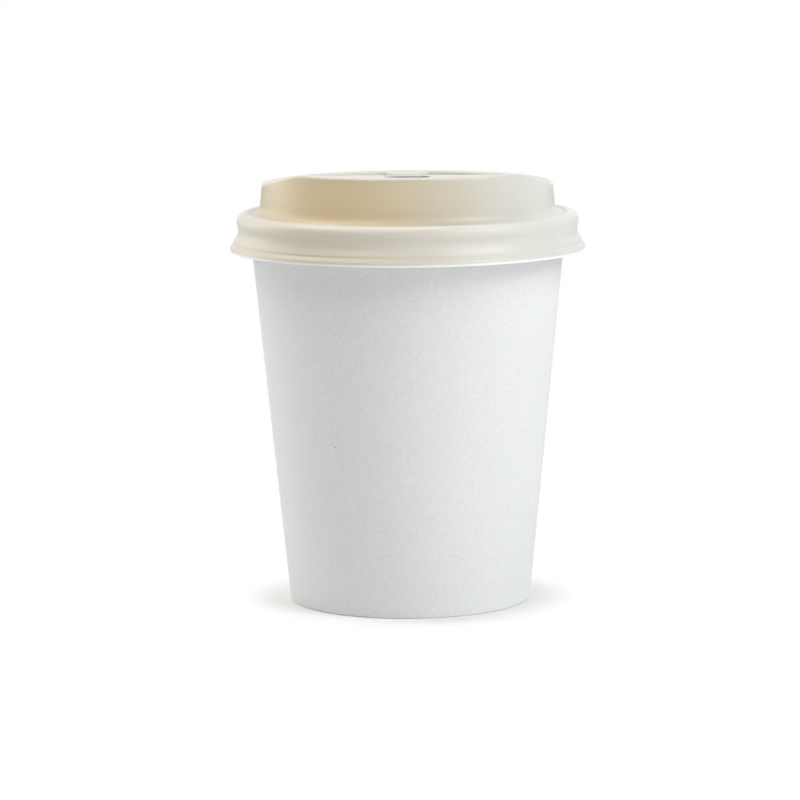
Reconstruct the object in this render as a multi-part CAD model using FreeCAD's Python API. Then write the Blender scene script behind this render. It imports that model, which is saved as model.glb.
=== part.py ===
import FreeCAD, Part
import math
import os

# A paper coffee cup with its press-on sip lid, standing on a table. Sizes are in millimetres.
# Origin: on the table, under the middle of the cup. +Z is up, the drinking side of the lid is
# at -Y and the glued side seam of the paper is at +Y.
#
# The real object has three pieces:
#   cup_wall    one paper blank, lapped and sealed down its side seam, rolled outwards at the
#               rim and folded in and up at the foot
#   cup_bottom  a paper disc with its edge turned down, held in the fold of the foot
#   lid         one thin sheet, formed into a snap bead, a drum with a raised sip crest, and a well

# The cup
RIM_OD = 79.6            # over the rolled rim, the 80 mm class
CUP_HEIGHT = 92.8        # table to the top of the rolled rim
FOOT_OD = 57.7           # outside of the wall where it meets the table
PAPER = 0.4              # wall paper with its lining
ROLL_D = 2.3             # outside of the rolled rim's own section
CURL_GAP = 0.1           # between the end of the roll and the wall
FOLD_ROUND = 0.45        # outer rounding of the fold at the foot

# The side seam
LAP_WIDTH = 7.0          # overlap of the two edges of the blank
LAP_STEP = 0.3           # height of the pressed step at the free edge
LAP_RAMP = 2.4           # width over which the outer layer climbs onto the inner one
LAP_SINK = 0.15          # how deep the body of the step reaches into the wall
LAP_STRIPS = 8           # flats that follow the wall's curve across the lap

# The bottom disc and the foot that holds it
BOTTOM_PAPER = 0.35
BOTTOM_RECESS = 7.4      # table to the underside of the disc
DISC_BEND = 0.35         # inside radius of the disc's turned-down edge
SEAL_GAP = 0.1           # sealing film between the layers of the foot
HEM_HEIGHT = 6.2         # table to the upper edge of the folded hem

# The lid: sheet and fit
LID_SHEET = 0.4
LID_SEAT = 0.13          # between the top of the rolled rim and the lid at rest
LID_SLIP = 0.2           # between the rolled rim and the lid's waist as the lid lifts

# The lid: bead, waist and skirt, measured on its outer face
BEAD_ROUND = 2.15        # radius of the bead's section
SNAP_DEPTH = 0.35        # how far the bead stands out past the waist
WAIST_DROP = 4.2         # bead top to waist
WAIST_ROUND = 2.8
WAIST_IN_DEG = 19.0      # lean of the face above the waist
WAIST_OUT_DEG = 34.0     # flare of the skirt below the waist
BEAD_SIDE_ROUND = 2.3
LEDGE_OUT = 1.08         # waist to the small upright ledge of the skirt
LEDGE_HEIGHT = 0.52
LEDGE_ROUND = 0.6
LEDGE_FOOT_ROUND = 0.4
SKIRT_FLARE = 1.94       # waist to the outermost edge
SKIRT_LIP_ROUND = 0.9
SKIRT_DROP = 9.08        # bead top to the trimmed edge

# The lid: drum and the groove at its foot
RIDGE_IN = 2.75          # bead's side to the edge of the groove
RIDGE_ROUND = 0.8
GROOVE_SIDE = 0.7        # edge of the groove to its bottom
GROOVE_DEPTH = 0.58      # below the bead's top
GROOVE_ROUND = 0.7
DRUM_FOOT_REACH = 2.0    # bottom of the groove to the drum wall
DRUM_DRAFT = 0.1         # the wall leans in by this much for each millimetre up
DRUM_FOOT_RISE = 0.27    # corner of the drum's foot above the bead's top
DRUM_FOOT_ROUND = 2.4
DRUM_RISE = 6.87         # bead top to the low rim at the rear
CREST_RISE = 3.6         # low rim to the sip crest
RIM_ROUND = 0.6          # outer rounding of the drum's upper edge

# The lid: how the drum's upper edge climbs from the rear rim to the crest, measured from front to back
CREST_FLAT = 12.7        # drum wall to the crest's rear edge
STEEP_RUN = 9.0          # crest's rear edge to the shoulder
SHOULDER_RISE = 1.22     # low rim to the shoulder between the steep and the gentle slope
GENTLE_RUN = 9.6         # shoulder to the low rim
CREST_EDGE_ROUND = 8.0
RAMP_ROUND = 10.0

# The lid: well, pad and holes
WELL_INSET = 4.3         # drum wall to the well's round wall at the floor
WELL_DRAFT_DEG = 6.0
WELL_DEPTH = 1.4         # below the low rim
WELL_FRONT_INSET = 14.7  # drum wall to the well's straight front wall at the floor
WELL_CORNER_ROUND = 6.0
WELL_EDGE_ROUND = 0.8    # upper edge
WELL_FLOOR_ROUND = 1.0
PAD_R = 5.35             # half-round pad on the rear wall of the well
PAD_BELOW_RIM = 0.2
PAD_ROUND = 0.55
SIP_LENGTH = 11.0
SIP_WIDTH = 5.0
SIP_INSET = 7.5          # drum wall to the middle of the slot
VENT_D = 1.5
VENT_X = 3.9
VENT_INSET = 6.4         # well's rear wall to the middle of the vent

# Heights and radii that follow
RIM_R = RIM_OD / 2
FOOT_R = FOOT_OD / 2
ROLL_R = ROLL_D / 2
ROLL_CENTRE_R = RIM_R - ROLL_R
ROLL_CENTRE_Z = CUP_HEIGHT - ROLL_R
WAIST_R = RIM_R + LID_SLIP + LID_SHEET
BEAD_R = WAIST_R + SNAP_DEPTH
BEAD_TOP_Z = CUP_HEIGHT + LID_SEAT + LID_SHEET
REAR_RIM_Z = BEAD_TOP_Z + DRUM_RISE
CREST_Z = REAR_RIM_Z + CREST_RISE
SKIRT_EDGE_Z = BEAD_TOP_Z - SKIRT_DROP
WELL_FLOOR_Z = REAR_RIM_Z - WELL_DEPTH

RIDGE_R = BEAD_R - RIDGE_IN
GROOVE_R = RIDGE_R - GROOVE_SIDE
DRUM_R = GROOVE_R - DRUM_FOOT_REACH     # drum wall carried down to the bead's top
WELL_R = DRUM_R - WELL_INSET
RIM_MIDDLE_R = (DRUM_R + WELL_R) / 2    # middle of the flat band round the well
WELL_FRONT_Y = WELL_FRONT_INSET - DRUM_R
CREST_EDGE_Y = CREST_FLAT - DRUM_R
SHOULDER_Y = CREST_EDGE_Y + STEEP_RUN
RAMP_FOOT_Y = SHOULDER_Y + GENTLE_RUN
SIP_Y = SIP_INSET - DRUM_R
VENT_Y = WELL_R - VENT_INSET

CUTTER_MARGIN = 5.0      # how far cutting bodies reach past what they cut

AXIS = FreeCAD.Vector(0, 0, 1)
ORIGIN = FreeCAD.Vector(0, 0, 0)


def section_point(r, z):
    """A point of a section in the XZ plane, r from the axis."""
    return FreeCAD.Vector(r, 0, z)


def line(start, end):
    return Part.LineSegment(start, end).toShape()


def arc_about(centre, radius, start_deg, end_deg):
    """An arc in the XZ plane, from one angle to another, counted from +X towards +Z."""
    points = []
    for angle in (start_deg, (start_deg + end_deg) / 2, end_deg):
        turn = math.radians(angle)
        points.append(centre + section_point(radius * math.cos(turn), radius * math.sin(turn)))
    return Part.Arc(*points).toShape()


def rounded_edges(corners):
    """Lines through the corners, each given as (point, radius), with tangent arcs at the corners."""
    edges = []
    start = corners[0][0]
    for (before, _), (here, radius), (after, _) in zip(corners, corners[1:], corners[2:]):
        back = (before - here).normalize()
        ahead = (after - here).normalize()
        half = back.getAngle(ahead) / 2
        reach = radius / math.tan(half)
        middle = here + (back + ahead).normalize() * (radius / math.sin(half) - radius)
        edges.append(line(start, here + back * reach))
        if radius > 0:
            edges.append(Part.Arc(here + back * reach, middle, here + ahead * reach).toShape())
        start = here + ahead * reach
    edges.append(line(start, corners[-1][0]))
    return edges


def offset_corners(corners, distance):
    """The same outline moved to its right-hand side, seen along its run with +Z up."""
    points = [point for point, _ in corners]
    sides = []
    for start, end in zip(points, points[1:]):
        along = (end - start).normalize()
        sides.append(FreeCAD.Vector(along.z, 0, -along.x))
    moved = [(points[0] + sides[0] * distance, 0)]
    for (point, radius), side, next_side in zip(corners[1:-1], sides, sides[1:]):
        shift = (side + next_side) * (distance / (1 + side.dot(next_side)))
        turns_right = side.cross(next_side).y > 0
        moved.append((point + shift, radius - distance if turns_right else radius + distance))
    moved.append((points[-1] + sides[-1] * distance, 0))
    return moved


def closed_face(edges):
    """A flat face inside a closed run of edges."""
    return Part.Face(Part.Wire(Part.__sortEdges__(edges)))


def turned(face):
    """The solid of revolution of a section about the cup's axis."""
    return face.revolve(ORIGIN, AXIS, 360)


def prism_along_x(corners, top_z, half_width):
    """The body above an outline of (y, z) corners, carried along X to both sides."""
    first = corners[0][0]
    last = corners[-1][0]
    first_top = section_point(first.x, top_z)
    last_top = section_point(last.x, top_z)
    closing = [line(last, last_top), line(last_top, first_top), line(first_top, first)]
    body = closed_face(rounded_edges(corners) + closing).extrude(FreeCAD.Vector(0, 2 * half_width, 0))
    body.translate(FreeCAD.Vector(0, -half_width, 0))
    body.rotate(ORIGIN, AXIS, 90)
    return body


def wall_lean():
    """Lean of the wall from upright, in radians: it runs from the foot to the roll's inner side."""
    across = ROLL_CENTRE_R - FOOT_R
    reach = math.hypot(across, ROLL_CENTRE_Z)
    return math.acos((ROLL_R - PAPER) / reach) - math.atan2(ROLL_CENTRE_Z, across)


LEAN = wall_lean()


def wall_r(z, depth):
    """Radius at height z of a face that lies this deep under the wall's outer face."""
    return FOOT_R - depth / math.cos(LEAN) + z * math.tan(LEAN)


def on_wall(z, depth):
    return section_point(wall_r(z, depth), z)


def across_wall(z, depth, further):
    """The point under on_wall(z, depth) by a further depth, square to the wall."""
    square = section_point(-math.cos(LEAN), math.sin(LEAN))
    return on_wall(z, depth) + square * further


SKIRT_DEPTH = PAPER + SEAL_GAP                      # wall face to the disc's turned-down edge
HEM_DEPTH = SKIRT_DEPTH + BOTTOM_PAPER + SEAL_GAP   # wall face to the folded hem
FOLD_DEPTH = HEM_DEPTH + PAPER                      # whole thickness of the foot


def wall_section():
    """Rolled rim, wall, and the fold at the foot, in one closed outline."""
    centre = section_point(ROLL_CENTRE_R, ROLL_CENTRE_Z)
    start_deg = 180 - math.degrees(LEAN)
    rest_deg = math.degrees(math.acos((ROLL_R - PAPER - CURL_GAP) / ROLL_R))
    end_deg = start_deg - 360 + rest_deg
    outer_curl = arc_about(centre, ROLL_R, start_deg, end_deg)
    inner_curl = arc_about(centre, ROLL_R - PAPER, start_deg, end_deg)
    inner_tangent = outer_curl.Vertexes[0].Point
    outer_tangent = inner_curl.Vertexes[0].Point
    curl_end = line(outer_curl.Vertexes[-1].Point, inner_curl.Vertexes[-1].Point)
    fold = rounded_edges([
        (outer_tangent, 0),
        (on_wall(0, 0), FOLD_ROUND),
        (on_wall(0, FOLD_DEPTH), FOLD_ROUND),
        (across_wall(HEM_HEIGHT, HEM_DEPTH, PAPER), 0),
        (on_wall(HEM_HEIGHT, HEM_DEPTH), 0),
        (on_wall(PAPER, HEM_DEPTH), 0),
        (on_wall(PAPER, PAPER), 0),
        (inner_tangent, 0),
    ])
    return [outer_curl, curl_end, inner_curl] + fold


def seam_ring(z, outline):
    """A closed outline at height z, its points given as (distance along the wall, step out)."""
    radius = wall_r(z, 0)
    points = []
    for along, out in outline:
        turn = math.pi / 2 - along / radius
        reach = radius + out
        points.append(FreeCAD.Vector(reach * math.cos(turn), reach * math.sin(turn), z))
    return Part.makePolygon(points + points[:1])


def seam_strip(outline, low_z, high_z):
    return Part.makeLoft([seam_ring(low_z, outline), seam_ring(high_z, outline)], True, True)


def lap_outline():
    """The outer layer: level over the lap with a sharp free edge, then a ramp down to the wall."""
    half = LAP_WIDTH / 2
    across = [half - LAP_WIDTH * step / LAP_STRIPS for step in range(LAP_STRIPS + 1)]
    upper = [(along, LAP_STEP) for along in across]
    lower = [(along, -LAP_SINK) for along in reversed(across)]
    return upper + [(-half - LAP_RAMP, -LAP_SINK)] + lower


def inner_step_outline():
    """The wedge left inside the cup where the outer layer climbs onto the inner layer's free edge."""
    half = LAP_WIDTH / 2
    inside = -PAPER / math.cos(LEAN)
    return [(-half - LAP_RAMP, inside), (-half, inside + LAP_STEP),
            (-half, inside - LAP_SINK), (-half - LAP_RAMP, inside - LAP_SINK)]


def make_cup_wall():
    seam_top = ROLL_CENTRE_Z - ROLL_R - CURL_GAP
    lap = seam_strip(lap_outline(), 0, seam_top)
    inner_step = seam_strip(inner_step_outline(), PAPER, seam_top)
    wall = turned(closed_face(wall_section()))
    return wall.fuse(lap).cut(inner_step).removeSplitter().Solids[0]


def make_cup_bottom():
    """A flat disc whose edge turns down between the wall and the hem."""
    skirt_low = PAPER + SEAL_GAP
    skirt_in = SKIRT_DEPTH + BOTTOM_PAPER
    disc_top = BOTTOM_RECESS + BOTTOM_PAPER
    under_middle = section_point(0, BOTTOM_RECESS)
    top_middle = section_point(0, disc_top)
    outline = rounded_edges([
        (under_middle, 0),
        (on_wall(BOTTOM_RECESS, skirt_in), DISC_BEND),
        (on_wall(skirt_low, skirt_in), 0),
        (on_wall(skirt_low, SKIRT_DEPTH), 0),
        (on_wall(disc_top, SKIRT_DEPTH), DISC_BEND + BOTTOM_PAPER),
        (top_middle, 0),
    ])
    return turned(closed_face(outline + [line(top_middle, under_middle)]))


def lid_corners():
    """The lid's outer face from above the crest down to its trimmed edge."""
    waist_z = BEAD_TOP_Z - WAIST_DROP
    above = math.radians(WAIST_IN_DEG)
    below = math.radians(WAIST_OUT_DEG)
    corner_reach = WAIST_ROUND / math.cos((above + below) / 2)
    corner_turn = (below - above) / 2
    waist_r = WAIST_R + WAIST_ROUND - corner_reach * math.cos(corner_turn)
    waist_corner_z = waist_z - corner_reach * math.sin(corner_turn)
    bead_side_z = waist_corner_z + (BEAD_R - waist_r) / math.tan(above)
    ledge_r = WAIST_R + LEDGE_OUT
    ledge_top_z = waist_corner_z - (ledge_r - waist_r) / math.tan(below)
    ledge_foot_z = ledge_top_z - LEDGE_HEIGHT
    tip_r = WAIST_R + SKIRT_FLARE
    top_z = CREST_Z + CUTTER_MARGIN
    foot_z = BEAD_TOP_Z + DRUM_FOOT_RISE
    return [
        (section_point(DRUM_R - DRUM_DRAFT * (top_z - BEAD_TOP_Z), top_z), 0),
        (section_point(DRUM_R - DRUM_DRAFT * DRUM_FOOT_RISE, foot_z), DRUM_FOOT_ROUND),
        (section_point(GROOVE_R, BEAD_TOP_Z - GROOVE_DEPTH), GROOVE_ROUND),
        (section_point(RIDGE_R, BEAD_TOP_Z), RIDGE_ROUND),
        (section_point(BEAD_R, BEAD_TOP_Z), BEAD_ROUND),
        (section_point(BEAD_R, bead_side_z), BEAD_SIDE_ROUND),
        (section_point(waist_r, waist_corner_z), WAIST_ROUND),
        (section_point(ledge_r, ledge_top_z), LEDGE_ROUND),
        (section_point(ledge_r, ledge_foot_z), LEDGE_FOOT_ROUND),
        (section_point(tip_r, ledge_foot_z - (tip_r - ledge_r)), SKIRT_LIP_ROUND),
        (section_point(tip_r, SKIRT_EDGE_Z), 0),
    ]


def drum_body(inset):
    """The full body under the lid's outer face, or under its inner face at an inset of one sheet."""
    corners = offset_corners(lid_corners(), inset)
    low_z = SKIRT_EDGE_Z - (CUTTER_MARGIN if inset else 0)
    tip = corners[-1][0]
    corners[-1] = (section_point(tip.x, low_z), 0)
    top_z = corners[0][0].z
    closing = [line(corners[-1][0], section_point(0, low_z)),
               line(section_point(0, low_z), section_point(0, top_z)),
               line(section_point(0, top_z), corners[0][0])]
    return turned(closed_face(rounded_edges(corners) + closing))


def above_rim(inset):
    """All that lies above the drum's upper face, or one sheet under that face."""
    reach = DRUM_R + CUTTER_MARGIN
    corners = [
        (section_point(-reach, CREST_Z), 0),
        (section_point(CREST_EDGE_Y, CREST_Z), CREST_EDGE_ROUND),
        (section_point(SHOULDER_Y, REAR_RIM_Z + SHOULDER_RISE), RAMP_ROUND),
        (section_point(RAMP_FOOT_Y, REAR_RIM_Z), RAMP_ROUND),
        (section_point(reach, REAR_RIM_Z), 0),
    ]
    return prism_along_x(offset_corners(corners, inset), CREST_Z + 2 * CUTTER_MARGIN, reach)


def rounded(body, radius, wanted):
    """The body with every edge that the test picks rounded by one radius."""
    return body.makeFillet(radius, [edge for edge in body.Edges if wanted(edge)])


def edge_middle_r(edge):
    """Distance of an edge's own middle point from the axis."""
    middle = edge.valueAt((edge.FirstParameter + edge.LastParameter) / 2)
    return math.hypot(middle.x, middle.y)


def is_on_top(edge):
    return edge.BoundBox.ZMin > REAR_RIM_Z - WELL_DEPTH / 2


def is_drum_rim(edge):
    """An edge of the drum's upper face, on the round wall."""
    return is_on_top(edge) and edge_middle_r(edge) > RIM_MIDDLE_R


def is_well_rim(edge):
    """An edge of the well's upper outline."""
    return is_on_top(edge) and edge_middle_r(edge) < RIM_MIDDLE_R


def is_well_corner(edge):
    """One of the two upright edges where the well's front wall meets its round wall."""
    return edge.BoundBox.ZLength > WELL_DEPTH and abs(edge.CenterOfMass.x) > PAD_R


def is_well_floor(edge):
    """An edge between the well's floor and its walls."""
    return edge.BoundBox.ZMax < WELL_FLOOR_Z + LID_SHEET


def well_body(grown):
    """The well as a solid, or with its sheet around it when it is grown by one sheet."""
    lean = math.tan(math.radians(WELL_DRAFT_DEG))
    low_z = WELL_FLOOR_Z - grown
    high_z = CREST_Z + CUTTER_MARGIN
    low_r = WELL_R + grown - lean * grown
    high_r = low_r + lean * (high_z - low_z)
    cone = Part.makeCone(low_r, high_r, high_z - low_z, section_point(0, low_z))
    front_low = WELL_FRONT_Y - grown + lean * grown
    front_high = front_low - lean * (high_z - low_z)
    side = WELL_R + 2 * CUTTER_MARGIN
    front = Part.makePolygon([FreeCAD.Vector(-side, front_low, low_z),
                              FreeCAD.Vector(-side, side, low_z),
                              FreeCAD.Vector(-side, side, high_z),
                              FreeCAD.Vector(-side, front_high, high_z),
                              FreeCAD.Vector(-side, front_low, low_z)])
    slab = Part.Face(front).extrude(FreeCAD.Vector(2 * side, 0, 0))
    return rounded(cone.common(slab), WELL_CORNER_ROUND + grown, is_well_corner)


def half_round_pad(shrunk, low_z):
    """The pad on the well's rear wall, or the hollow under it when it is shrunk by one sheet."""
    high_z = REAR_RIM_Z - PAD_BELOW_RIM - shrunk
    middle = FreeCAD.Vector(0, WELL_R, low_z)
    pad = Part.makeCylinder(PAD_R - shrunk, high_z - low_z, middle)
    pad = rounded(pad, PAD_ROUND - shrunk, lambda edge: edge.BoundBox.ZMin > high_z - PAD_ROUND)
    return pad.common(Part.makeCylinder(RIM_MIDDLE_R, CREST_Z, ORIGIN))


def sip_slot():
    """The drinking hole through the crest, a slot with round ends."""
    half = (SIP_LENGTH - SIP_WIDTH) / 2
    low_z = WELL_FLOOR_Z
    height = CREST_Z + CUTTER_MARGIN - low_z
    slot = Part.makeBox(2 * half, SIP_WIDTH, height,
                        FreeCAD.Vector(-half, SIP_Y - SIP_WIDTH / 2, low_z))
    ends = [Part.makeCylinder(SIP_WIDTH / 2, height, FreeCAD.Vector(x, SIP_Y, low_z))
            for x in (-half, half)]
    return slot.fuse(ends)


def vent_hole():
    low = FreeCAD.Vector(VENT_X, VENT_Y, WELL_FLOOR_Z - CUTTER_MARGIN)
    return Part.makeCylinder(VENT_D / 2, 2 * CUTTER_MARGIN, low)


def make_lid():
    """The body under the lid's outer face less the body under its inner face, then the holes."""
    outer = rounded(drum_body(0).cut(above_rim(0)), RIM_ROUND, is_drum_rim)
    outer = outer.cut(rounded(well_body(0), WELL_FLOOR_ROUND, is_well_floor))
    outer = rounded(outer, WELL_EDGE_ROUND, is_well_rim)
    outer = outer.fuse(half_round_pad(0, WELL_FLOOR_Z - LID_SHEET / 2))
    hollow = drum_body(LID_SHEET).cut(above_rim(LID_SHEET))
    hollow = rounded(hollow, RIM_ROUND - LID_SHEET, is_drum_rim)
    hollow = hollow.cut(rounded(well_body(LID_SHEET), WELL_FLOOR_ROUND + LID_SHEET, is_well_floor))
    hollow = hollow.fuse(half_round_pad(LID_SHEET, WELL_FLOOR_Z - 2 * LID_SHEET))
    return outer.cut([hollow, sip_slot(), vent_hole()]).Solids[0]


def main():
    os.makedirs("parts", exist_ok=True)
    pieces = {"cup_wall": make_cup_wall(), "cup_bottom": make_cup_bottom(), "lid": make_lid()}
    for node, solid in pieces.items():
        print(node, "volume", round(solid.Volume, 1), "valid", solid.isValid())
        solid.exportStep("parts/" + node + ".step")


if __name__ == "__main__":
    main()
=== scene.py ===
import math

import bmesh
import bpy
from mathutils import Matrix, Vector


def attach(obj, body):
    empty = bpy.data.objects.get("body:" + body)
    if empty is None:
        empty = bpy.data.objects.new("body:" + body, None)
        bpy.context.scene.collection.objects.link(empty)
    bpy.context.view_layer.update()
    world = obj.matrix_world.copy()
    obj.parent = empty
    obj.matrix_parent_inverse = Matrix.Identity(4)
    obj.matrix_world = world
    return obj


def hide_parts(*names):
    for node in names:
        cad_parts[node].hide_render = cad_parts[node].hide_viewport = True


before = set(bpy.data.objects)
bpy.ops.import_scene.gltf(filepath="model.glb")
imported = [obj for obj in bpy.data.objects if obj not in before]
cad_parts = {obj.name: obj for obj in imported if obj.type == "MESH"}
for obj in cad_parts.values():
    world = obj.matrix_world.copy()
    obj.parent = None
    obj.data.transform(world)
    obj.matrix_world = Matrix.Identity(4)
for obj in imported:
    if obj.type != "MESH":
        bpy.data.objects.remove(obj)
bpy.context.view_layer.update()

# Cup wall: one blank of white uncoated paper board, wrapped to a cone and sealed along a lap at
# the back, with its top rolled outwards into a rim and its foot folded in and up over the
# bottom disc. The inside has a thin plastic lining.
MM = 0.001               # all sizes are in millimetres, and the scene is in metres
RIM_R = 39.8             # over the rolled rim
CUP_HEIGHT = 92.8
FOOT_R = 28.85
PAPER = 0.4
ROLL_R = 1.15            # outside of the rolled rim's own section
CURL_GAP = 0.1           # between the end of the roll and the wall
FOLD_ROUND = 0.45
SEAL_GAP = 0.1           # between the layers of the foot
BOTTOM_PAPER = 0.35
HEM_HEIGHT = 6.2         # table to the upper edge of the folded hem
LAP_HALF = 3.5           # half of the overlap of the blank's two edges
LAP_STEP = 0.3
LAP_RAMP = 2.4           # width over which the outer layer climbs onto the inner one
CUT_EDGE = 0.03          # width given to the outer layer's cut edge
BACK_Y = 20              # the part of the cup round the lap lies further back than this
BACK_HALF = 12           # and no further than this to either side
LOW_RING = 30            # heights at which the wall's long faces are divided
HIGH_RING = 60
WALL_TURNS = 288         # faces round the cup
ROLL_STEPS = 40
ROUND_STEP_DEG = 12      # turn of one face in a rounded corner
MERGE = 1e-6             # points nearer than this, in metres, become one

roll_r = RIM_R - ROLL_R
roll_z = CUP_HEIGHT - ROLL_R
reach = math.hypot(roll_r - FOOT_R, roll_z)
lean = math.acos((ROLL_R - PAPER) / reach) - math.atan2(roll_z, roll_r - FOOT_R)
skirt_depth = PAPER + SEAL_GAP
hem_depth = skirt_depth + BOTTOM_PAPER + SEAL_GAP


def on_wall(z, depth):
    """The point at height z of a face that lies this deep under the wall's outer face."""
    return Vector((FOOT_R - depth / math.cos(lean) + z * math.tan(lean), 0, z))


def run(bm, corners, closed=False):
    """Edges through corners of (point in mm, radius), with each corner rounded."""
    verts = [bm.verts.new(point * MM) for point, radius in corners]
    following = verts[1:] + (verts[:1] if closed else [])
    for start, end in zip(verts, following):
        bm.edges.new((start, end))
    for vert, (point, radius) in zip(verts, corners):
        if radius:
            ends = [edge.other_vert(vert).co - vert.co for edge in vert.link_edges]
            turn = math.pi - ends[0].angle(ends[1])
            segments = max(2, round(math.degrees(turn) / ROUND_STEP_DEG))
            bmesh.ops.bevel(bm, geom=[vert], offset=radius * MM * math.tan(turn / 2),
                            offset_type="OFFSET", segments=segments, profile=0.5,
                            affect="VERTICES", material=-1)
    return verts


def only_verts(parts):
    """The vertices among what an operator returns."""
    return [part for part in parts if isinstance(part, bmesh.types.BMVert)]


def full_spin(bm, steps):
    """Turns the whole section about the cup's axis and closes it."""
    bmesh.ops.spin(bm, geom=bm.verts[:] + bm.edges[:], cent=(0, 0, 0), axis=(0, 0, 1),
                   angle=math.tau, steps=steps, use_merge=True, use_duplicate=False)
    bmesh.ops.remove_doubles(bm, verts=bm.verts[:], dist=MERGE)
    bmesh.ops.recalc_face_normals(bm, faces=bm.faces[:])


def at_lap(face):
    """Whether a face lies in the part of the cup's back round the lap."""
    middle = face.calc_center_median() / MM
    return middle.y > BACK_Y and abs(middle.x) < BACK_HALF


def smooth_mesh(bm, name, sharp_deg):
    """A mesh with smooth faces, split only where two faces meet at a sharper angle."""
    for face in bm.faces:
        face.smooth = True
    for edge in bm.edges:
        edge.smooth = not edge.is_manifold or edge.calc_face_angle() < math.radians(sharp_deg)
    mesh = bpy.data.meshes.new(name)
    bm.to_mesh(mesh)
    bm.free()
    return mesh


def show(mesh, name, body, node):
    """Puts a finished piece in the scene in place of its CAD node."""
    piece = bpy.data.objects.new(name, mesh)
    bpy.context.scene.collection.objects.link(piece)
    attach(piece, body)
    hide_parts(node)
    return piece


centre = Vector((roll_r, 0, roll_z))
square = Vector((math.cos(lean), 0, -math.sin(lean)))
bm = bmesh.new()
fold = run(bm, [
    (centre - square * (ROLL_R - PAPER), 0),
    (on_wall(HIGH_RING, 0), 0),
    (on_wall(LOW_RING, 0), 0),
    (on_wall(0, 0), FOLD_ROUND),
    (on_wall(0, hem_depth + PAPER), FOLD_ROUND),
    (on_wall(HEM_HEIGHT, hem_depth + PAPER), 0),
    (on_wall(HEM_HEIGHT, hem_depth), 0),
    (on_wall(PAPER, hem_depth), 0),
    (on_wall(PAPER, PAPER), 0),
    (on_wall(LOW_RING, PAPER), 0),
    (on_wall(HIGH_RING, PAPER), 0),
    (centre - square * ROLL_R, 0),
])
curl = math.tau - math.acos((ROLL_R - PAPER - CURL_GAP) / ROLL_R)
roll_ends = []
for start in (fold[0], fold[-1]):
    rolled = bmesh.ops.spin(bm, geom=[start], cent=centre * MM, axis=(0, 1, 0),
                            angle=curl, steps=ROLL_STEPS)
    roll_ends += only_verts(rolled["geom_last"])
bm.edges.new(roll_ends)
full_spin(bm, WALL_TURNS)

# The lap: the outer layer ends in a cut edge and climbs onto the inner one from the other side.
for x in (LAP_HALF + CUT_EDGE, LAP_HALF, -LAP_HALF, -LAP_HALF - CUT_EDGE, -LAP_HALF - LAP_RAMP):
    back = [face for face in bm.faces if at_lap(face)]
    around = dict.fromkeys(part for face in back for part in (*face.verts, *face.edges))
    bmesh.ops.bisect_plane(bm, geom=back + list(around), dist=MERGE / 10,
                           plane_co=(x * MM, 0, 0), plane_no=(1, 0, 0))
for vert in bm.verts:
    x, y, z = vert.co / MM
    if y < BACK_Y or z > roll_z - ROLL_R - CURL_GAP:
        continue
    depth = (on_wall(z, 0).x - math.hypot(x, y)) * math.cos(lean)
    if depth < PAPER / 2:
        layer_end = LAP_HALF + CUT_EDGE / 2
    else:
        layer_end = -LAP_HALF - CUT_EDGE / 2
    if depth < skirt_depth and x < layer_end:
        step = LAP_STEP * min(1, max(0, (x + LAP_HALF + LAP_RAMP) / LAP_RAMP))
        vert.co += Vector((x, y, 0)).normalized() * step * MM
mesh = smooth_mesh(bm, "cup_wall", sharp_deg=35)
wall = show(mesh, "paper_wall", "cup", "cup_wall")


def linear(code):
    """An sRGB hex colour as linear light."""
    parts = [int(code[i:i + 2], 16) / 255 for i in (1, 3, 5)]
    return [c / 12.92 if c <= 0.04045 else ((c + 0.055) / 1.055) ** 2.4 for c in parts] + [1]


def add(tree, kind, settings=None, **links):
    """Adds a node with its settings; each link names a socket, or i and its number, and what feeds it."""
    node = tree.nodes.new(kind)
    for key, value in (settings or {}).items():
        setattr(node, key, value)
    for key, value in links.items():
        name = int(key[1:]) if key[1:].isdigit() else key.replace("_", " ")
        socket = node.inputs[name]
        if isinstance(value, bpy.types.NodeSocket):
            tree.links.new(value, socket)
        else:
            socket.default_value = value
    return node


def new_material(name):
    """An empty material and its node tree."""
    material = bpy.data.materials.new(name)
    material.use_nodes = True
    material.node_tree.nodes.clear()
    return material, material.node_tree


# Uncoated cup board, pressed from bleached fibres: white and matt, with a fine mottle, a slightly
# felted face and now and then a darker fleck. The fibres are finer than the picture can show, so
# they are drawn as coarse as it needs.
MOTTLE_MM = 0.6
MOTTLE_DEPTH_MM = 0.04
FIBRE_MM = 0.3
FIBRE_DEPTH_MM = 0.03
FELT = 0.3
FLECK_GAP_MM = 6.5
FLECK_R_MM = 0.2
FLECK_BLUR = 0.3         # share of a fleck's radius over which it fades
fleck_reach = FLECK_R_MM / FLECK_GAP_MM

board, tree = new_material("uncoated_cup_board")
place = add(tree, "ShaderNodeTexCoord").outputs["Object"]
mottle = add(tree, "ShaderNodeTexNoise", Vector=place, Scale=1 / (MOTTLE_MM * MM),
             Detail=2.0, Roughness=0.6).outputs["Fac"]
fibre = add(tree, "ShaderNodeTexNoise", Vector=place, Scale=1 / (FIBRE_MM * MM),
            Detail=2.0, Roughness=0.5).outputs["Fac"]
flecks = add(tree, "ShaderNodeTexVoronoi", Vector=place,
             Scale=1 / (FLECK_GAP_MM * MM)).outputs["Distance"]
shade = add(tree, "ShaderNodeMapRange", Value=mottle, From_Min=0.3, From_Max=0.7).outputs[0]
dark = add(tree, "ShaderNodeMapRange", Value=flecks, From_Min=(1 + FLECK_BLUR) * fleck_reach,
           From_Max=(1 - FLECK_BLUR) * fleck_reach).outputs[0]
tone = add(tree, "ShaderNodeMix", {"data_type": "RGBA"}, i0=shade,
           i6=linear("#E6E6E7"), i7=linear("#EFEFF0")).outputs[2]
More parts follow.
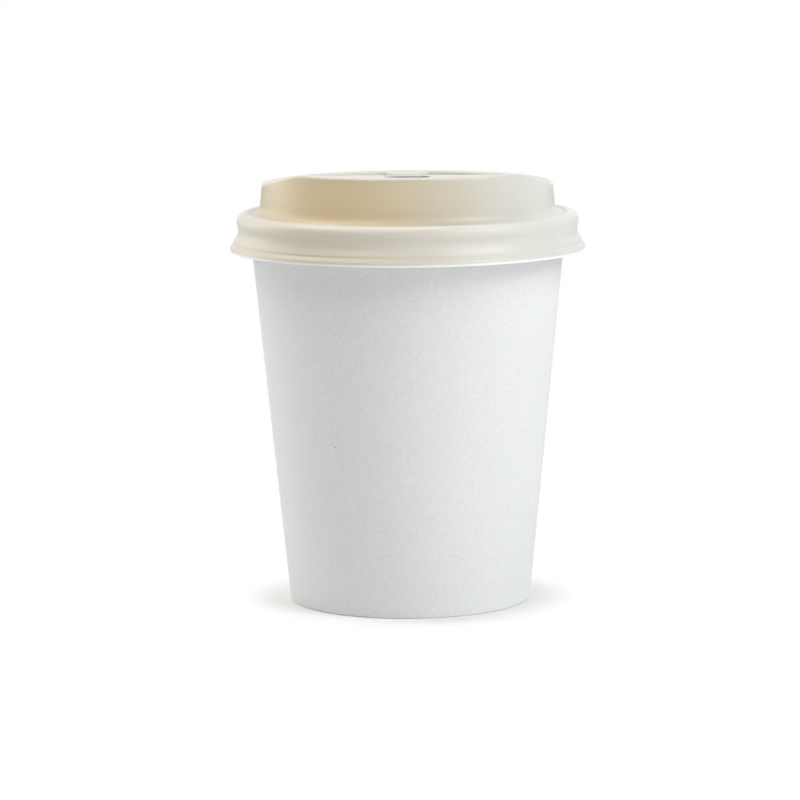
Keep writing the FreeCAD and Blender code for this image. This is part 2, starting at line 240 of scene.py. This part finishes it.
tone = add(tree, "ShaderNodeMix", {"data_type": "RGBA"}, i0=dark, i6=tone, i7=linear("#C4C1B8")).outputs[2]
felt = add(tree, "ShaderNodeBump", Strength=FELT, Distance=FIBRE_DEPTH_MM * MM, Height=fibre).outputs[0]
felt = add(tree, "ShaderNodeBump", Strength=FELT, Distance=MOTTLE_DEPTH_MM * MM,
           Height=mottle, Normal=felt).outputs[0]
paper = add(tree, "ShaderNodeBsdfPrincipled", Base_Color=tone, Roughness=0.88, IOR=1.45, Normal=felt)
add(tree, "ShaderNodeOutputMaterial", Surface=paper.outputs[0])
wall.data.materials.append(board)

# Cup bottom: a disc of the same board, pressed so that its edge turns down, and sealed between
# the wall and the folded foot. It stands high enough to keep a hot drink off the table.
BOTTOM_RECESS = 7.4      # table to the underside of the disc
DISC_BEND = 0.35
disc_top = BOTTOM_RECESS + BOTTOM_PAPER

bm = bmesh.new()
run(bm, [
    (Vector((0, 0, BOTTOM_RECESS)), 0),
    (on_wall(BOTTOM_RECESS, skirt_depth + BOTTOM_PAPER), DISC_BEND),
    (on_wall(skirt_depth, skirt_depth + BOTTOM_PAPER), 0),
    (on_wall(skirt_depth, skirt_depth), 0),
    (on_wall(disc_top, skirt_depth), DISC_BEND + BOTTOM_PAPER),
    (Vector((0, 0, disc_top)), 0),
])
full_spin(bm, WALL_TURNS // 2)
mesh = smooth_mesh(bm, "cup_bottom", sharp_deg=35)
bottom = show(mesh, "paper_bottom", "cup", "cup_bottom")
bottom.data.materials.append(board)

# Lid: one cream polystyrene sheet, drawn hot over a mould into a bead that is pressed over the
# rolled rim, a flared skirt, a drum with a raised drinking crest, and a shallow well.
SHEET = 0.4
WELL_FLOOR = 98.8        # heights are counted from the table and radii from the axis
WELL_R = 31.0            # the well's round wall, at its floor
WELL_LEAN = math.tan(math.radians(6))
WELL_FRONT = 20.6        # the well's straight front wall, from the axis
CORNER_POWER = 34        # how tightly the front wall turns into the round one
REAR_RIM = 100.2         # the drum's upper edge at the rear
EDGE_DROP = 0.9          # the drum's rounded upper edge is within this height
EDGE_OUT = 34.7          # and within this radius
DRUM_DRAFT = 0.1         # the drum's wall leans in by this much for each millimetre up
LIFT_FROM = 95.5         # the drum's wall is drawn up to the crest from this height
BAND_IN = 32.2           # inside this radius the flat band round the well follows the well
BAND_OUT = 33.6          # and outside this one it follows the drum
GROOVE_R = 37.3
RIDGE_R = 38.0
BEAD_R = 40.75
BEAD_TOP = 93.33
LEDGE_R = 41.48
SKIRT_R = 42.34
TRIM_Z = 84.25
BAND_CUTS = 14
WALL_CUTS = 9
FACE_LENGTH = 2          # other long faces of the section are divided at about this
LID_TURNS = 300

# The crest stands in front. From there the drum's upper edge falls to the rear in rounded bends,
# each given as its middle along Y, how much the slope changes, and half its length.
CREST_RISE = 3.6
BENDS = [(-22.6, -0.2644, 1.04), (-13.6, 0.1373, 0.66), (-4.0, 0.1271, 0.63)]


def rise(y):
    """Height of the drum's upper edge above its rear, by distance from the axis."""
    height = CREST_RISE
    for bend_y, slope, half in BENDS:
        past = y - bend_y
        height += slope * (0 if past < -half else past if past > half else (past + half) ** 2 / (4 * half))
    return max(0, height)


def well_reach(turn):
    """Distance from the axis to the well's outline at its floor: round, with a straight front."""
    front = WELL_FRONT / max(1e-6, -math.sin(turn))
    return (WELL_R ** -CORNER_POWER + front ** -CORNER_POWER) ** (-1 / CORNER_POWER)


# Corners of the sheet's outer face as (radius, height, rounding), with the drum still level.
section = [
    (0, WELL_FLOOR, 0),            # middle of the well
    (WELL_R, WELL_FLOOR, 1.0),     # foot of the well's wall
    (31.147, REAR_RIM, 0.8),       # upper edge of the well
    (34.613, REAR_RIM, 0.6),       # upper edge of the drum
    (35.273, 93.60, 2.4),          # foot of the drum
    (GROOVE_R, 92.75, 0.7),        # groove between the drum and the bead
    (RIDGE_R, BEAD_TOP, 0.8),
    (BEAD_R, BEAD_TOP, 2.15),
    (BEAD_R, 90.615, 2.3),
    (40.098, 88.722, 2.8),         # waist under the bead
    (LEDGE_R, 86.673, 0.6),        # small upright ledge of the skirt
    (LEDGE_R, 86.153, 0.4),
    (SKIRT_R, 85.293, 0.9),
    (SKIRT_R, TRIM_Z, 0),          # trimmed edge
]
bm = bmesh.new()
run(bm, [(Vector((r, 0, z)), radius) for r, z, radius in section])
for edge in bm.edges[:]:
    length = edge.calc_length() / MM
    inner, outer = sorted(vert.co.x / MM for vert in edge.verts)
    flat = abs(edge.verts[0].co.z - edge.verts[1].co.z) < MERGE
    cuts = int(length / FACE_LENGTH)
    if flat and inner > WELL_R and outer < EDGE_OUT:
        cuts = BAND_CUTS
    elif inner > BAND_OUT and length > 2 * FACE_LENGTH:
        cuts = WALL_CUTS
    if cuts and outer > WELL_R:
        bmesh.ops.subdivide_edges(bm, edges=[edge], cuts=cuts)
full_spin(bm, LID_TURNS)

# The round well is given its straight front, and the drum is drawn up to its crest; only the
# well's middle stays. A point's lift depends on where it ends, so it is worked out three times.
edge_low = REAR_RIM - EDGE_DROP
for vert in bm.verts:
    x, y, z = vert.co / MM
    radius = math.hypot(x, y)
    if z < LIFT_FROM or radius < WELL_FRONT:
        continue
    turn = math.atan2(y, x)
    outline = well_reach(turn)
    tilt = (well_reach(turn + 1e-4) - well_reach(turn - 1e-4)) / 2e-4 / outline
    stretch = math.sqrt(1 + tilt * tilt)
    new_r = radius
    for _ in range(3):
        lift = rise(new_r * math.sin(turn))
        if radius < BAND_IN:
            share = min(1, max(0, (z - WELL_FLOOR) / (REAR_RIM - WELL_FLOOR)))
            new_z = z + lift * share
            new_r = outline + (radius - WELL_R + WELL_LEAN * lift * share) * stretch
        elif z > edge_low and radius < BAND_OUT:
            share = (radius - BAND_IN) / (BAND_OUT - BAND_IN)
            well_side = outline + (BAND_IN - WELL_R + WELL_LEAN * lift) * stretch
            drum_side = BAND_OUT - DRUM_DRAFT * lift
            new_z = z + lift
            new_r = well_side + (drum_side - well_side) * share
        elif z > edge_low and radius < EDGE_OUT:
            new_z = z + lift
            new_r = radius - DRUM_DRAFT * lift
        else:
            new_z = LIFT_FROM + (z - LIFT_FROM) * (edge_low + lift - LIFT_FROM) / (edge_low - LIFT_FROM)
            new_r = radius - DRUM_DRAFT * (new_z - z)
    vert.co = Vector((new_r * math.cos(turn), new_r * math.sin(turn), new_z)) * MM
formed = bpy.data.objects.new("formed_sheet", smooth_mesh(bm, "formed_sheet", sharp_deg=40))
bpy.context.scene.collection.objects.link(formed)
wall_of_sheet = formed.modifiers.new("sheet", "SOLIDIFY")
wall_of_sheet.thickness = SHEET * MM
wall_of_sheet.offset = -1
wall_of_sheet.use_even_offset = True

# The half-round pad behind the well is drawn from the same sheet: a body is added, and its
# inside is taken out.
PAD_R = 5.35
PAD_TOP = 100.0
PAD_ROUND = 0.55
PAD_BACK = 0.25          # how far the pad reaches back into the well's wall
HOLLOW_BACK = 1.0        # and the same for its hollow
PAD_STEPS = 64


def half_round(radius, low, high, rounding, back):
    """A half-round body that stands against the well's rear wall and reaches back into it."""
    bm = bmesh.new()
    run(bm, [(Vector((0, 0, low)), 0), (Vector((radius, 0, low)), 0),
             (Vector((radius, 0, high)), rounding), (Vector((0, 0, high)), 0)])
    bmesh.ops.spin(bm, geom=bm.verts[:] + bm.edges[:], cent=(0, 0, 0), axis=(0, 0, 1),
                   angle=-math.pi, steps=PAD_STEPS)
    bmesh.ops.remove_doubles(bm, verts=bm.verts[:], dist=MERGE)
    rim = [edge for edge in bm.edges if edge.is_boundary]
    carried = bmesh.ops.extrude_edge_only(bm, edges=rim)["geom"]
    bmesh.ops.translate(bm, vec=(0, back * MM, 0), verts=only_verts(carried))
    bmesh.ops.holes_fill(bm, edges=[edge for edge in bm.edges if edge.is_boundary])
    bmesh.ops.translate(bm, vec=(0, WELL_R * MM, 0), verts=bm.verts[:])
    return bm


pad = half_round(PAD_R, WELL_FLOOR - SHEET / 2, PAD_TOP, PAD_ROUND, PAD_BACK)
pad_hollow = half_round(PAD_R - SHEET, WELL_FLOOR - 2 * SHEET, PAD_TOP - SHEET,
                        PAD_ROUND - SHEET, HOLLOW_BACK)

# The slot to drink from and the small round vent are punched through the sheet.
SIP_LENGTH = 11
SIP_WIDTH = 5
SIP_Y = -27.8
SIP_ROUND = SIP_WIDTH / 2 - 0.01
SIP_PUNCH = 10           # height of the punching body, up from the level of the well's floor
VENT_R = 0.75
VENT_X = 3.9
VENT_Y = 24.6
VENT_PUNCH = 4

slot = bmesh.new()
corners = [Vector((x * SIP_LENGTH / 2, SIP_Y + y * SIP_WIDTH / 2, WELL_FLOOR))
           for x, y in ((-1, -1), (1, -1), (1, 1), (-1, 1))]
run(slot, [(corner, SIP_ROUND) for corner in corners], closed=True)
bmesh.ops.contextual_create(slot, geom=slot.edges[:])
raised = bmesh.ops.extrude_face_region(slot, geom=slot.faces[:])["geom"]
bmesh.ops.translate(slot, vec=(0, 0, SIP_PUNCH * MM), verts=only_verts(raised))
vent = bmesh.new()
bmesh.ops.create_cone(vent, cap_ends=True, segments=48, depth=VENT_PUNCH * MM,
                      radius1=VENT_R * MM, radius2=VENT_R * MM,
                      matrix=Matrix.Translation((VENT_X * MM, VENT_Y * MM, WELL_FLOOR * MM)))

tools = []
for name, operation, body in (("pad", "UNION", pad), ("pad_hollow", "DIFFERENCE", pad_hollow),
                              ("slot", "DIFFERENCE", slot), ("vent", "DIFFERENCE", vent)):
    bmesh.ops.recalc_face_normals(body, faces=body.faces[:])
    tool = bpy.data.objects.new(name, smooth_mesh(body, name, sharp_deg=40))
    bpy.context.scene.collection.objects.link(tool)
    step = formed.modifiers.new(name, "BOOLEAN")
    step.operation = operation
    step.object = tool
    tools.append(tool)
bm = bmesh.new()
finished = formed.evaluated_get(bpy.context.evaluated_depsgraph_get())
bm.from_mesh(bpy.data.meshes.new_from_object(finished))
for spent in (formed, *tools):
    bpy.data.objects.remove(spent)
mesh = smooth_mesh(bm, "lid", sharp_deg=40)
lid = show(mesh, "sip_lid", "lid", "lid")

# High-impact polystyrene sheet, thermoformed: cream, with a satin skin and a faint waviness from
# the mould. A warm tan glow is painted round the front left of the drum, standing for light that
# passes through the sheet; painted shade makes it greyer in front, and painted light makes it
# nearly white at the right, on the drum's top and upper edge, and along the bead and the skirt.
# The trimmed edge is white, and the slot's cut edge is painted white as light on a shaded face.
# The painted warm glow is strongest in this direction round the drum.
PAINTED_GLOW_TURN = math.radians(-124)
PAINTED_GLOW_FADE = 2.4           # power by which the painted tan glow fades round the drum
# Share of the painted glow at each radius: none on the drum's top, so its upper edge stays pale as a
# painted highlight, full on its side, less on the bead and the skirt.
PAINTED_GLOW_BY_RADIUS = [(33.8, 0), (34.5, 1), (35.6, 1), (38.6, 0.2), (40.9, 0.35), (41.5, 0.5)]
RAMP_FROM = 33           # the ramp that holds these amounts runs from this radius
RAMP_LENGTH = 10
TOP_IN = 33.8            # the drum's top, given a fixed share of painted light, turns into its side between these radii
TOP_OUT = 34.5
TOP_PALE = 0.45
SKIRT_IN = 35.3          # and the bead and the skirt get a painted highlight between these
SKIRT_OUT = 37.8
SKIRT_PALE = 0.85
TRIM_HIGH = 84.95        # the trimmed edge whitens between these heights
TRIM_LOW = 84.55
PUNCH_EDGE = 0.05        # the slot's edge, painted near white as light on its shaded cut face, reaches this far past the cut
WAVE_MM = 7.0
WAVE_DEPTH_MM = 0.12
SKIN_MM = 0.8
SKIN_DEPTH_MM = 0.02

styrene, tree = new_material("thermoformed_polystyrene")
place = add(tree, "ShaderNodeTexCoord").outputs["Object"]
level = add(tree, "ShaderNodeVectorMath", {"operation": "MULTIPLY"}, i0=place, i1=(1, 1, 0)).outputs[0]
across = add(tree, "ShaderNodeVectorMath", {"operation": "NORMALIZE"}, i0=level).outputs[0]
toward = add(tree, "ShaderNodeVectorMath", {"operation": "DOT_PRODUCT"}, i0=across,
             i1=(math.cos(PAINTED_GLOW_TURN), math.sin(PAINTED_GLOW_TURN), 0)).outputs["Value"]
radius = add(tree, "ShaderNodeVectorMath", {"operation": "LENGTH"}, i0=level).outputs["Value"]
share = add(tree, "ShaderNodeMapRange", Value=radius, From_Min=RAMP_FROM * MM,
            From_Max=(RAMP_FROM + RAMP_LENGTH) * MM).outputs[0]
painted_glow_ramp = add(tree, "ShaderNodeValToRGB", Fac=share)
stops = painted_glow_ramp.color_ramp.elements
stops.remove(stops[1])
for distance, amount in PAINTED_GLOW_BY_RADIUS:
    stops.new((distance - RAMP_FROM) / RAMP_LENGTH).color = (amount, amount, amount, 1)
# Painted warm glow: strongest at the front left of the drum, scaled by the ramp's share at each radius.
tan = add(tree, "ShaderNodeMath", {"operation": "MAXIMUM"}, i0=toward, i1=0.0).outputs[0]
tan = add(tree, "ShaderNodeMath", {"operation": "POWER"}, i0=tan, i1=PAINTED_GLOW_FADE).outputs[0]
tan = add(tree, "ShaderNodeMath", {"operation": "MULTIPLY"}, i0=tan, i1=painted_glow_ramp.outputs[0]).outputs[0]
# Painted shade and light: greyer towards the front left, nearly white towards the right.
painted_light_share = add(tree, "ShaderNodeMapRange", Value=toward, From_Min=0.6, From_Max=-0.1).outputs[0]
# Painted light on the drum's top: a fixed share of the paler tone inside TOP_IN.
top = add(tree, "ShaderNodeMapRange", Value=radius, From_Min=TOP_OUT * MM, From_Max=TOP_IN * MM).outputs[0]
# Painted highlight on the bead and the skirt: paler from SKIRT_IN outwards.
painted_bead_highlight = add(tree, "ShaderNodeMapRange", Value=radius, From_Min=SKIRT_IN * MM, From_Max=SKIRT_OUT * MM,
            To_Min=0.0, To_Max=SKIRT_PALE).outputs[0]
painted_light_share = add(tree, "ShaderNodeMix", i0=top, i2=painted_light_share, i3=TOP_PALE).outputs[0]
painted_light_share = add(tree, "ShaderNodeMath", {"operation": "MAXIMUM"}, i0=painted_light_share, i1=painted_bead_highlight).outputs[0]
height = add(tree, "ShaderNodeSeparateXYZ", Vector=place).outputs["Z"]
white_trim_and_painted_slot_light = add(tree, "ShaderNodeMapRange", Value=height, From_Min=TRIM_HIGH * MM,
           From_Max=TRIM_LOW * MM).outputs[0]

# The slot's edge is found by the distance from the line between the middles of its two round ends.
near = add(tree, "ShaderNodeVectorMath", {"operation": "SUBTRACT"}, i0=place,
           i1=(0, SIP_Y * MM, 0)).outputs[0]
near = add(tree, "ShaderNodeVectorMath", {"operation": "ABSOLUTE"}, i0=near).outputs[0]
near = add(tree, "ShaderNodeVectorMath", {"operation": "SUBTRACT"}, i0=near,
           i1=((SIP_LENGTH - SIP_WIDTH) / 2 * MM, 0, 0)).outputs[0]
near = add(tree, "ShaderNodeVectorMath", {"operation": "MAXIMUM"}, i0=near, i1=(0, 0, 0)).outputs[0]
near = add(tree, "ShaderNodeVectorMath", {"operation": "MULTIPLY"}, i0=near, i1=(1, 1, 0)).outputs[0]
near = add(tree, "ShaderNodeVectorMath", {"operation": "LENGTH"}, i0=near).outputs["Value"]
# Painted light on the slot's shaded cut face: it is coloured near white.
painted_slot_light = add(tree, "ShaderNodeMath", {"operation": "LESS_THAN"}, i0=near,
              i1=(SIP_WIDTH / 2 + PUNCH_EDGE) * MM).outputs[0]
white_trim_and_painted_slot_light = add(tree, "ShaderNodeMath", {"operation": "MAXIMUM"}, i0=white_trim_and_painted_slot_light, i1=painted_slot_light).outputs[0]

# The greyer tone is painted shade and the paler one painted light; then the painted tan glow, then the
# white of the trimmed edge and of the slot's painted light.
tone = add(tree, "ShaderNodeMix", {"data_type": "RGBA"}, i0=painted_light_share,
           i6=linear("#C9C6BC"), i7=linear("#E0DED8")).outputs[2]
tone = add(tree, "ShaderNodeMix", {"data_type": "RGBA"}, i0=tan, i6=tone, i7=linear("#E6D0A9")).outputs[2]
tone = add(tree, "ShaderNodeMix", {"data_type": "RGBA"}, i0=white_trim_and_painted_slot_light, i6=tone, i7=linear("#FBFCFC")).outputs[2]
wave = add(tree, "ShaderNodeTexNoise", Vector=place, Scale=1 / (WAVE_MM * MM),
           Detail=2.0, Roughness=0.4).outputs["Fac"]
skin = add(tree, "ShaderNodeTexNoise", Vector=place, Scale=1 / (SKIN_MM * MM),
           Detail=1.0, Roughness=0.5).outputs["Fac"]
satin = add(tree, "ShaderNodeMapRange", Value=wave, From_Min=0.3, From_Max=0.7,
            To_Min=0.34, To_Max=0.42).outputs[0]
dents = add(tree, "ShaderNodeBump", Strength=0.4, Distance=WAVE_DEPTH_MM * MM, Height=wave).outputs[0]
dents = add(tree, "ShaderNodeBump", Strength=0.12, Distance=SKIN_DEPTH_MM * MM,
            Height=skin, Normal=dents).outputs[0]
plastic = add(tree, "ShaderNodeBsdfPrincipled", Base_Color=tone, Roughness=satin, IOR=1.5, Normal=dents)
add(tree, "ShaderNodeOutputMaterial", Surface=plastic.outputs[0])
lid.data.materials.append(styrene)

# Floor and light: a plain white sweep in a pale room, with broad soft lamps at the right, weaker
# ones at the left, and a long narrow one overhead that draws the fine highlights on the lid.
FLOOR_HALF = 4           # metres
SHADOW_R = 29            # the floor shows its shadow up to this radius
SWEEP_R = 41             # and is plain white past this one

bm = bmesh.new()
bmesh.ops.create_grid(bm, x_segments=1, y_segments=1, size=FLOOR_HALF)
floor = bpy.data.objects.new("floor", smooth_mesh(bm, "floor", sharp_deg=35))
bpy.context.scene.collection.objects.link(floor)
white, tree = new_material("white_sweep")
ray = add(tree, "ShaderNodeLightPath")
spot = add(tree, "ShaderNodeTexCoord").outputs["Object"]
away = add(tree, "ShaderNodeVectorMath", {"operation": "LENGTH"}, i0=spot).outputs["Value"]
far = add(tree, "ShaderNodeMapRange", {"interpolation_type": "SMOOTHSTEP"}, Value=away,
          From_Min=SHADOW_R * MM, From_Max=SWEEP_R * MM)
matt = add(tree, "ShaderNodeBsdfDiffuse", Color=linear("#F6F6F6"))
glow = add(tree, "ShaderNodeEmission", Strength=1.0)
seen = add(tree, "ShaderNodeMath", {"operation": "MULTIPLY"},
           i0=ray.outputs["Is Camera Ray"], i1=far.outputs[0])
mixed = add(tree, "ShaderNodeMixShader", i0=seen.outputs[0], i1=matt.outputs[0], i2=glow.outputs[0])
add(tree, "ShaderNodeOutputMaterial", Surface=mixed.outputs[0])
floor.data.materials.append(white)

world = bpy.data.worlds.new("studio")
bpy.context.scene.world = world
world.use_nodes = True
tree = world.node_tree
tree.nodes.clear()
ray = add(tree, "ShaderNodeLightPath")
room = add(tree, "ShaderNodeBackground", Color=linear("#FFFFFF"), Strength=0.05)
sweep = add(tree, "ShaderNodeBackground", Color=linear("#FFFFFF"), Strength=1.0)
plain = add(tree, "ShaderNodeMath", {"operation": "MAXIMUM"},
            i0=ray.outputs["Is Camera Ray"], i1=ray.outputs["Is Glossy Ray"])
mixed = add(tree, "ShaderNodeMixShader", i0=plain.outputs[0], i1=room.outputs[0], i2=sweep.outputs[0])
add(tree, "ShaderNodeOutputWorld", Surface=mixed.outputs[0])

LAMP_AIM = 60            # height on the cup's axis that the lamps face


def lamp(name, place, width, height, power, code):
    """A soft rectangular lamp that faces the cup, with its place and size in metres."""
    data = bpy.data.lights.new(name, "AREA")
    data.shape = "RECTANGLE"
    data.size = width
    data.size_y = height
    data.energy = power
    data.color = linear(code)[:3]
    piece = bpy.data.objects.new(name, data)
    piece.location = place
    aim = Vector((0, 0, LAMP_AIM * MM)) - piece.location
    piece.rotation_euler = aim.to_track_quat("-Z", "Y").to_euler()
    bpy.context.scene.collection.objects.link(piece)


lamp("key", (0.7, -0.4, 0.8), 0.6, 0.6, 5.9, "#FBFEFF")
lamp("key_front", (0.75, -0.75, 0.5), 0.6, 0.8, 2.3, "#FBFEFF")
lamp("right_low", (0.95, -0.3, 0.12), 0.6, 0.24, 0.8, "#FBFEFF")
lamp("front_low", (-0.1, -0.95, 0.14), 0.8, 0.24, 0.35, "#FFFFFF")
lamp("overhead", (0, 0.4, 1.02), 1.0, 0.08, 3.8, "#FFFFFF")
lamp("left_high", (-0.6, 0.2, 0.95), 0.5, 0.5, 2.4, "#FFFFF9")
lamp("left_front", (-0.42, -0.45, 1.05), 0.5, 0.5, 2.2, "#FFFFF9")
lamp("left_rear", (-0.9, 0.42, 0.36), 0.9, 0.7, 3.8, "#FFFFF9")

# Camera: at the photograph's place, a long lens slightly above the lid.
SENSOR_MM = 36
LENS_MM = 170.6
CAMERA_PLACE = (-0.00214, -0.9014, 0.1781)
LOOK_DOWN_DEG = 8.23
CAMERA_ROLL_DEG = -0.468

camera_data = bpy.data.cameras.new("camera")
camera_data.sensor_width = SENSOR_MM
camera_data.lens = LENS_MM
camera = bpy.data.objects.new("camera", camera_data)
camera.matrix_world = (Matrix.Translation(CAMERA_PLACE)
                       @ Matrix.Rotation(math.radians(90 - LOOK_DOWN_DEG), 4, "X")
                       @ Matrix.Rotation(math.radians(CAMERA_ROLL_DEG), 4, "Z"))
bpy.context.scene.collection.objects.link(camera)
bpy.context.scene.camera = camera
bpy.context.scene.view_settings.view_transform = "Standard"
